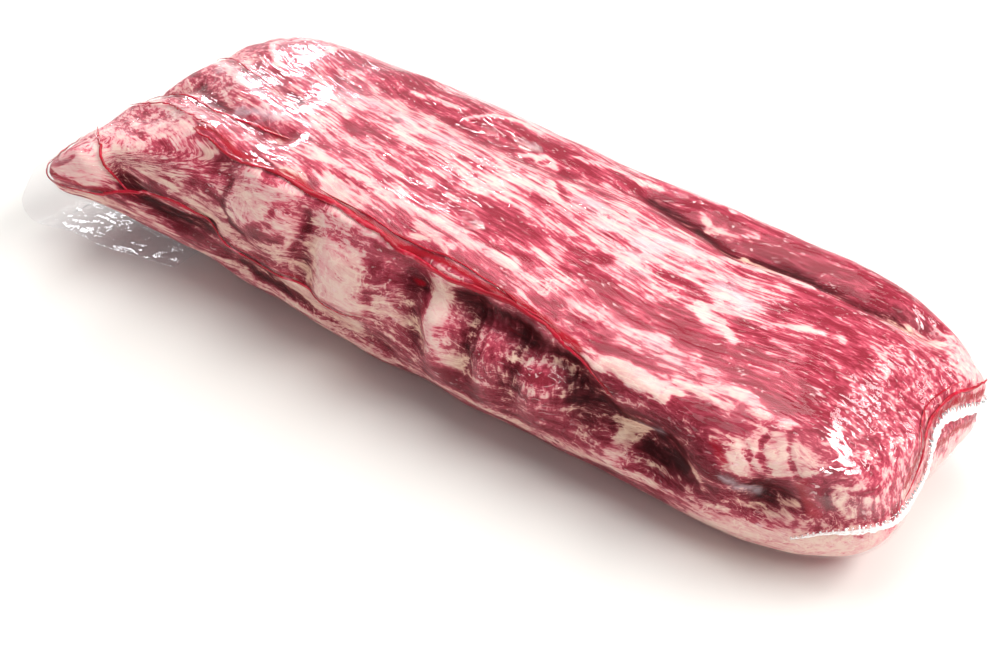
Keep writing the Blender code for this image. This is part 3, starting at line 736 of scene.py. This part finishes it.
# How much the film mirrors: less where it sinks into hollows and towards the far end, and
# most of all on a few tight wrinkles near the seal.
OPEN_SHINE, HOLLOW_LESS, FAR_LESS = 0.75, 0.68, 0.3
shine = OPEN_SHINE - HOLLOW_LESS * ease(even_out(bag.data, shade_and_blood, 4), 0.15, 0.8)
shine -= FAR_LESS * ease(-x_mm, 190, 215)
far_dull = 0.4 * ease(-x_mm, 110, 150) + 0.35 * ease(-x_mm, 180, 205)
shine *= 1 - far_dull * ease(y_mm, 0, 30)
BRIGHT_WRINKLES = [
    (1.3, "top", 11, (186, -62), (204, -50), (216, -30)),
    (3.2, "top", 8, (212, -60), (226, -50), (232, -38)),
    (3.2, "front", 9, (206, 76), (220, 68), (232, 56)),
    (3.0, "end", 8, (-62, 66), (-58, 56), (-54, 48)),
    (1.5, "end", 13, (-62, 58), (-40, 66), (-20, 70)),
]
skin.lift_to(shine, BRIGHT_WRINKLES)

store(bag.data, "crinkle", SMOOTH_CRINKLE + FOLD_CRINKLE * gather)
store(bag.data, "shine", shine)
store(bag.data, "grain", grain)

SHRINK_TINT = (0.99, 0.985, 0.985)
FILM_HAZE = (0.9, 0.88, 0.9)
MIRROR_AT_SLANT, MIRROR_FACE_ON, MIRROR_MOST = 0.95, 0.03, 0.5


def film_finish(f, tint, haze, along, crinkle, shine):
    """Clear film: see-through face on, mirror-like at a slant and on its wrinkles."""
    broad = f.noise(along, (48, 140, 140), 2.0, 0.5, 0.8)
    sharp = f.calc("ABSOLUTE", f.off_middle(f.noise(along, (32, 210, 210), 1.5, 0.5, 0.5)))
    height = f.calc("SUBTRACT", broad, f.calc("MULTIPLY", sharp, 2.4))
    bump = f.bump(crinkle, 1.2 * MM, height)
    clear = f.add("ShaderNodeBsdfTransparent", {"Color": (*tint, 1)}).outputs[0]
    milk = f.add("ShaderNodeBsdfDiffuse", {"Color": (*FILM_HAZE, 1), "Normal": bump}).outputs[0]
    slant = f.add("ShaderNodeLayerWeight", {"Blend": 0.5, "Normal": bump}).outputs["Facing"]
    glance = f.calc("MULTIPLY_ADD", f.calc("POWER", slant, 5.0), MIRROR_AT_SLANT, MIRROR_FACE_ON)
    mirror = f.calc("MINIMUM", f.calc("MULTIPLY", glance, shine), MIRROR_MOST)
    return f.show(f.layered(mirror, f.layered(haze, clear, milk), f.glossy(0.04, bump)))


film = Finish("shrink_film")
bag.data.materials.clear()
bag.data.materials.append(film_finish(
    film, SHRINK_TINT, haze=0.0, along=film.field("grain", "Vector"),
    crinkle=film.field("crinkle"), shine=film.field("shine"),
))
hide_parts("ribeye_roll")
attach(bag, "root")

# ------------------------------------------------------------------------------------
# The folds of the bag. Where the film had to gather it stands up in thin ridges, and the
# blood drawn into them shows bright red. They follow the long creases of the pack.
# ------------------------------------------------------------------------------------
FOLD_SECTION = 9
FOLD_STEP = 1.0 * MM
FOLD_SUNK = 0.25 * MM
FOLD_SWAY = 1.2 * MM
FOLD_TIP = 0.015
FOLDS = {
    # name: (half width, height, course)
    "front_ridge": (1.9, 1.4, (-156, -60, 91), (-93, -72, 91), (-49, -71, 93), (-2, -75, 88),
                    (41, -75, 86), (68, -73, 85), (102, -76, 76), (113, -78, 72), (122, -83, 63)),
    "front_ridge_upper": (0.8, 0.8, (-60, -68, 95), (-2, -71, 93), (52, -71, 88), (92, -73, 80)),
    "lower_front": (1.4, 1.1, (-240, -96, 50), (-212, -90, 48), (-184, -86, 54), (-147, -84, 60),
                    (-117, -83, 49), (-62, -84, 45), (-16, -85, 49)),
    "far_corner": (1.0, 1.0, (-236, -60, 66), (-214, -76, 66), (-196, -84, 58), (-179, -86, 52)),
    "far_corner_edge": (1.1, 1.0, (-250, -62, 58), (-249, -82, 54), (-240, -95, 50), (-226, -94, 44)),
    "deep_fold": (1.3, 1.1, (-240, -22, 64), (-215, -22, 76), (-190, -26, 86), (-165, -32, 92),
                  (-135, -38, 96), (-100, -43, 98)),
    "deep_fold_beside": (0.9, 0.8, (-240, -34, 62), (-205, -36, 76), (-165, -50, 88), (-128, -62, 93)),
    "second_fold": (0.8, 0.8, (-246, 40, 66), (-212, 24, 80), (-178, 8, 90), (-140, -6, 97)),
    "above_the_seal": (1.4, 1.1, (250, -34, 38), (249, -20, 46), (246, -10, 56), (244, 1, 59), (243, 12, 60),
                       (244, 23, 59), (246, 37, 55), (246, 52, 50)),
    "above_the_seal_upper": (0.6, 0.5, (248, -22, 50), (244, -8, 62), (241, 4, 65), (241, 18, 64),
                             (243, 32, 60)),
}

bm = bmesh.new()
bm.from_mesh(bag.data)
bag_surface = BVHTree.FromBMesh(bm)
bm.free()


def on_bag(point):
    """The nearest point of the bag, and the way the bag faces there."""
    place, normal, _, _ = bag_surface.find_nearest(Vector(point))
    return place, normal


def course_points(course, step):
    """Points at about equal steps on a smooth curve through a course, all in metres."""
    course = np.array(course, float)
    run = np.concatenate(([0], np.cumsum(np.linalg.norm(np.diff(course, axis=0), axis=1))))
    slope = np.gradient(course, run, axis=0)
    along = np.linspace(0, run[-1], max(int(run[-1] / step), 3))
    i = np.clip(np.searchsorted(run, along) - 1, 0, len(run) - 2)
    reach = (run[i + 1] - run[i])[:, None]
    t = (along - run[i])[:, None] / reach
    rise = t * t * (3 - 2 * t)
    swing = slope[i] * reach * (t - 1) ** 2 * t + slope[i + 1] * reach * (t - 1) * t * t
    return course[i] * (1 - rise) + course[i + 1] * rise + swing


def as_piece(name, bm, material):
    """Makes an object of a bmesh, smooth and with its normals outward."""
    bmesh.ops.recalc_face_normals(bm, faces=bm.faces)
    for face in bm.faces:
        face.smooth = True
    mesh = bpy.data.meshes.new(name)
    bm.to_mesh(mesh)
    bm.free()
    mesh.materials.append(material)
    piece = bpy.data.objects.new(name, mesh)
    bpy.context.scene.collection.objects.link(piece)
    return piece


def lay_grid(bm, rows, columns):
    """Adds a grid of faces, and gives each of its vertices with its row and column."""
    made = bmesh.ops.create_grid(bm, x_segments=columns, y_segments=rows, size=0.5)["verts"]
    return [(v, round((v.co.y + 0.5) * rows), round((v.co.x + 0.5) * columns)) for v in made]


def lay_ridge(bm, points, half_width, height, seed):
    """Adds a thin tapered ridge that follows points along the bag, closed against it."""
    spine = []
    for k, point in enumerate(points):
        before, after = points[max(k - 1, 0)], points[min(k + 1, len(points) - 1)]
        place, normal = on_bag(point)
        across = Vector(after - before).cross(normal).normalized()
        share = min(max(k / (len(points) - 1), FOLD_TIP), 1 - FOLD_TIP)
        uneven = 0.75 + 0.4 * noise.noise(Vector(point) / (9 * MM) + Vector((seed, 0, 0)))
        taper = math.sqrt(math.sin(math.pi * share)) * uneven
        sway = FOLD_SWAY * noise.noise(Vector(point) / (16 * MM) + Vector((0, seed, 0)))
        spine.append((place + across * sway, across, normal, taper))
    # The last column of the grid lies on the first, so the section is closed.
    for vertex, k, j in lay_grid(bm, len(points) - 1, FOLD_SECTION):
        place, across, normal, taper = spine[k]
        turn = math.pi * (j % FOLD_SECTION) / (FOLD_SECTION - 1)
        aside = across * math.cos(turn) * half_width * taper
        lift = normal * (max(math.sin(turn), 0) ** 0.8 * height * taper - FOLD_SUNK)
        vertex.co = place + aside + lift


EMPTY_FOLD, THIN_BLOOD, THICK_BLOOD = (0.86, 0.30, 0.36), (0.58, 0.006, 0.034), (0.36, 0.003, 0.016)


def fold_finish():
    """Wet red film: blood under a high gloss, paler where the fold is empty."""
    f = Finish("blood_in_fold")
    runs = f.noise(f.place(), (50, 140, 140), 3.0, 0.6, 0.5)
    colour = f.ramp(runs, ((0.40, THICK_BLOOD), (0.60, THIN_BLOOD), (0.76, EMPTY_FOLD)))
    bump = f.bump(0.35, 0.6 * MM, f.noise(f.place(), (180, 600, 600), 2.0))
    inputs = {"Base Color": colour, "Normal": bump, "Roughness": 0.16, "Specular IOR Level": 0.35}
    return f.show(f.add("ShaderNodeBsdfPrincipled", inputs).outputs[0])


FOLD_SEED = 3.7
bm = bmesh.new()
for count, (half_width, height, *course) in enumerate(FOLDS.values()):
    points = course_points(np.array(course) * MM, FOLD_STEP)
    lay_ridge(bm, points, half_width * MM, height * MM, FOLD_SEED * count)
bmesh.ops.remove_doubles(bm, verts=bm.verts, dist=SAME_SPOT / 10)
bmesh.ops.holes_fill(bm, edges=bm.edges, sides=FOLD_SECTION)
folds = as_piece("blood_filled_folds", bm, fold_finish())
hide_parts("ribeye_roll")
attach(folds, "root")

# ------------------------------------------------------------------------------------
# The end seal. The bag's mouth is gathered and welded into a flat white ribbon round the
# sealed end, ruffled into stitch-like pleats along its upper edge.
# ------------------------------------------------------------------------------------
SEAL_COURSE = (
    (219, -73, 29), (232, -66, 35), (243, -56, 36), (250, -38, 35), (250, -14, 37), (249, -4, 48),
    (247, 8, 54), (249, 24, 50), (250, 40, 44), (244, 56, 38), (232, 68, 33), (219, 74, 28),
)
SEAL_STEP = 0.42 * MM
SEAL_HALF_WIDTH = 3.2 * MM
SEAL_LIFT = 0.36 * MM
SEAL_TIP = 0.02
SEAL_THICKNESS = 1.1 * MM
SEAL_ROWS = 11
SEAL_EVENING = 60
PLEAT_PITCH = 2.5 * MM
PLEAT_RISE = 0.35 * MM
PLEAT_DIP = 0.2 * MM
# Across the ribbon, from -1 at its lower edge to 1 at its upper edge:
WELD_HALF_WIDTH = 0.42
STITCH_PLACE, STITCH_HALF_WIDTH = 0.62, 0.36


def build_seal():
    """The ribbon, laid on the bag, with how white it is at each vertex."""
    points = course_points(np.array(SEAL_COURSE) * MM, SEAL_STEP)
    outward = np.array([on_bag(point)[1] for point in points])
    upsides = np.cross(outward, np.gradient(points, axis=0))
    for _ in range(SEAL_EVENING):
        upsides[1:-1] = (upsides[:-2] + upsides[1:-1] + upsides[2:]) / 3
    bm = bmesh.new()
    # The layer is made before the vertices, because a new layer replaces them.
    weld = bm.verts.layers.float.new("weld")
    for vertex, k, j in lay_grid(bm, len(points) - 1, SEAL_ROWS - 1):
        point = Vector(points[k])
        side = 2 * j / (SEAL_ROWS - 1) - 1
        share = min(max(k / (len(points) - 1), SEAL_TIP), 1 - SEAL_TIP)
        phase = 2 * math.pi * k * SEAL_STEP / PLEAT_PITCH + 1.3 * noise.noise(point / (11 * MM))
        width = SEAL_HALF_WIDTH * math.sqrt(math.sin(math.pi * share))
        reach = width * side * (1 + 0.10 * math.sin(0.37 * phase))
        place, facing = on_bag(point + Vector(upsides[k]).normalized() * reach)
        pleat = max(PLEAT_RISE * math.sin(phase) * (0.3 + 0.7 * max(side, 0)), -PLEAT_DIP)
        crown = SEAL_THICKNESS * (1 - side * side) ** 0.5
        spot = np.array(place + facing * (SEAL_LIFT + crown + pleat))
        vertex.co = np.clip(spot, low_corner, high_corner)
        welded = math.exp(-((side / WELD_HALF_WIDTH) ** 4))
        stitch = math.exp(-(((side - STITCH_PLACE) / STITCH_HALF_WIDTH) ** 4))
        vertex[weld] = max(welded, stitch * max(math.sin(phase), 0) ** 0.6)
    return bm


SEAL_PINK, SEAL_PALE, SEAL_WHITE = (0.80, 0.55, 0.56), (0.94, 0.87, 0.86), (0.98, 0.96, 0.95)
SEAL_TINT = (0.99, 0.97, 0.97)
FILM_IOR = 1.42


def seal_finish():
    """Welded film: a milky white line with stitch-like pleats, clear on either side."""
    f = Finish("welded_film")
    thin = f.noise(f.place(), (300, 300, 300), 3.0, 0.6)
    colour = f.ramp(thin, ((0.33, SEAL_PINK), (0.44, SEAL_PALE), (0.60, SEAL_WHITE)))
    bump = f.bump(0.4, 0.4 * MM, thin)
    inputs = {"Base Color": colour, "Normal": bump, "Roughness": 0.2, "Specular IOR Level": 0.6}
    milky_film = f.add("ShaderNodeBsdfPrincipled", inputs).outputs[0]
    clear = f.add("ShaderNodeBsdfTransparent", {"Color": (*SEAL_TINT, 1)}).outputs[0]
    glance = f.add("ShaderNodeFresnel", {"IOR": FILM_IOR, "Normal": bump}).outputs[0]
    clear_film = f.layered(glance, clear, f.glossy(0.05, bump))
    white = f.between(f.calc("MULTIPLY_ADD", thin, 0.5, f.field("weld")), 0.58, 1.22)
    return f.show(f.layered(white, clear_film, milky_film))


seal = as_piece("gathered_seal", build_seal(), seal_finish())
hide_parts("end_seal")
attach(seal, "root")

# ------------------------------------------------------------------------------------
# The loose tail of the bag. A single limp sheet of clear film that hangs from the far
# end, turns under it and ends in a cut edge; it's crumpled all over.
# ------------------------------------------------------------------------------------
# The course runs down and then under the roll: x, z, and the y of the sheet's front edge.
TAIL_COURSE = (
    (-255, 46, -92), (-258, 36, -97), (-262, 22, -100), (-257, 12, -98),
    (-240, 9, -91), (-210, 9, -87), (-185, 9, -81), (-166, 9, -77),
)
TAIL_BACK = 70 * MM
TAIL_DROOP = 0.06
TAIL_HANGS = 0.35
TAIL_WAVES = ((1.2 * MM, 9, 5), (0.7 * MM, 17, -11))
TAIL_CREASES = ((26 * MM, 1.6 * MM), (11 * MM, 0.8 * MM), (5 * MM, 0.35 * MM))
TAIL_STEP = 0.8 * MM
TAIL_COLUMNS = 170
TAIL_FILM = 0.25 * MM
TAIL_TINT = (0.975, 0.975, 0.98)


def build_tail():
    """The sheet with its waves and sharp creases, given its thickness."""
    course = course_points(np.array(TAIL_COURSE) * MM, TAIL_STEP)
    bm = bmesh.new()
    for vertex, k, j in lay_grid(bm, len(course) - 1, TAIL_COLUMNS):
        along, back = k / (len(course) - 1), j / TAIL_COLUMNS
        x, z, front = course[k]
        spot = Vector((x, front + (TAIL_BACK - front) * back, z))
        wave = sum(rise * math.sin(across * back + turn * along) for rise, across, turn in TAIL_WAVES)
        crease = sum(rise * (0.5 - abs(noise.noise(spot / size)) * 2) for size, rise in TAIL_CREASES)
        # Both grow away from the roll. Creases stand out sideways where the sheet hangs.
        grown = min(1, 3 * along)
        crease *= 0.35 + 0.65 * grown
        spot.z += wave * grown - TAIL_DROOP * z * back
        if along > TAIL_HANGS:
            spot.z += crease
        else:
            spot.x += 0.6 * crease
        vertex.co = np.clip(spot, low_corner + TAIL_FILM, high_corner)
    bmesh.ops.recalc_face_normals(bm, faces=bm.faces)
    bmesh.ops.solidify(bm, geom=bm.faces[:], thickness=TAIL_FILM)
    return bm


film = Finish("loose_film")
loose_film = film_finish(film, TAIL_TINT, haze=0.05, along=film.place(), crinkle=0.35, shine=0.5)
tail = as_piece("loose_tail", build_tail(), loose_film)
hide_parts("bag_tail")
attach(tail, "root")

# ------------------------------------------------------------------------------------
# The studio. A plain pale floor, a camera in front of the roll and above its sealed end, a
# broad soft light overhead, a strip and a small card beyond the sealed end, and a window
# and a small lamp beyond the far end.
# ------------------------------------------------------------------------------------
TARGET = Vector((0, 0, 0.04))
AZIMUTH, ELEVATION = math.radians(38), math.radians(37)
DISTANCE = 0.9332
ASIDE, BELOW = 0.0002, -0.0366
FOCAL_PIXELS, FRAME_WIDTH, SENSOR = 1800, 1000, 36

right = Vector((math.cos(AZIMUTH), math.sin(AZIMUTH), 0))
back = Vector((
    math.sin(AZIMUTH) * math.cos(ELEVATION), -math.cos(AZIMUTH) * math.cos(ELEVATION), math.sin(ELEVATION)
))
upward = back.cross(right)
camera = bpy.data.objects.new("camera", bpy.data.cameras.new("camera"))
camera.data.sensor_width = SENSOR
camera.data.lens = FOCAL_PIXELS * SENSOR / FRAME_WIDTH
pose = Matrix((right, upward, back)).transposed().to_4x4()
pose.translation = TARGET + back * DISTANCE + right * ASIDE + upward * BELOW
camera.matrix_world = pose
bpy.context.scene.collection.objects.link(camera)
bpy.context.scene.camera = camera

FLOOR_REACH = 6
FLOOR_WHITE = (0.84, 0.825, 0.79)
paper = Finish("white_paper")
inputs = {"Base Color": (*FLOOR_WHITE, 1), "Roughness": 0.9}
white_paper = paper.show(paper.add("ShaderNodeBsdfPrincipled", inputs).outputs[0])
bm = bmesh.new()
bmesh.ops.create_grid(bm, x_segments=1, y_segments=1, size=FLOOR_REACH)
floor = as_piece("white_floor", bm, white_paper)

LIGHTS = {
    # name: (place, width, height, power, colour)
    "overhead_softbox": ((-0.55, 0.42, 2.35), 2.2, 2.0, 38, (1.0, 0.99, 0.975)),
    "end_strip": ((1.48, 0.86, 1.92), 2.0, 0.5, 44, (1.0, 0.99, 0.98)),
    "near_card": ((1.80, -0.30, 1.72), 0.7, 0.26, 11, (1.0, 1.0, 1.0)),
    "far_window": ((-2.3, 1.95, 0.80), 0.5, 0.6, 24, (0.90, 0.94, 1.0)),
    "top_spark": ((-1.25, 1.60, 1.56), 0.14, 0.10, 3, (1.0, 1.0, 1.0)),
}
for name, (place, width, height, power, colour) in LIGHTS.items():
    lamp = bpy.data.lights.new(name, "AREA")
    lamp.shape = "RECTANGLE"
    lamp.size, lamp.size_y, lamp.energy, lamp.color = width, height, power, colour
    holder = bpy.data.objects.new(name, lamp)
    holder.location = place
    holder.rotation_euler = (TARGET - Vector(place)).to_track_quat("-Z", "Y").to_euler()
    bpy.context.scene.collection.objects.link(holder)

ROOM_LIGHT = 0.40
world = bpy.data.worlds.new("white_room")
world.use_nodes = True
room = world.node_tree.nodes["Background"]
room.inputs["Color"].default_value = (1, 1, 1, 1)
room.inputs["Strength"].default_value = ROOM_LIGHT
bpy.context.scene.world = world
bpy.context.scene.view_settings.view_transform = "Standard"
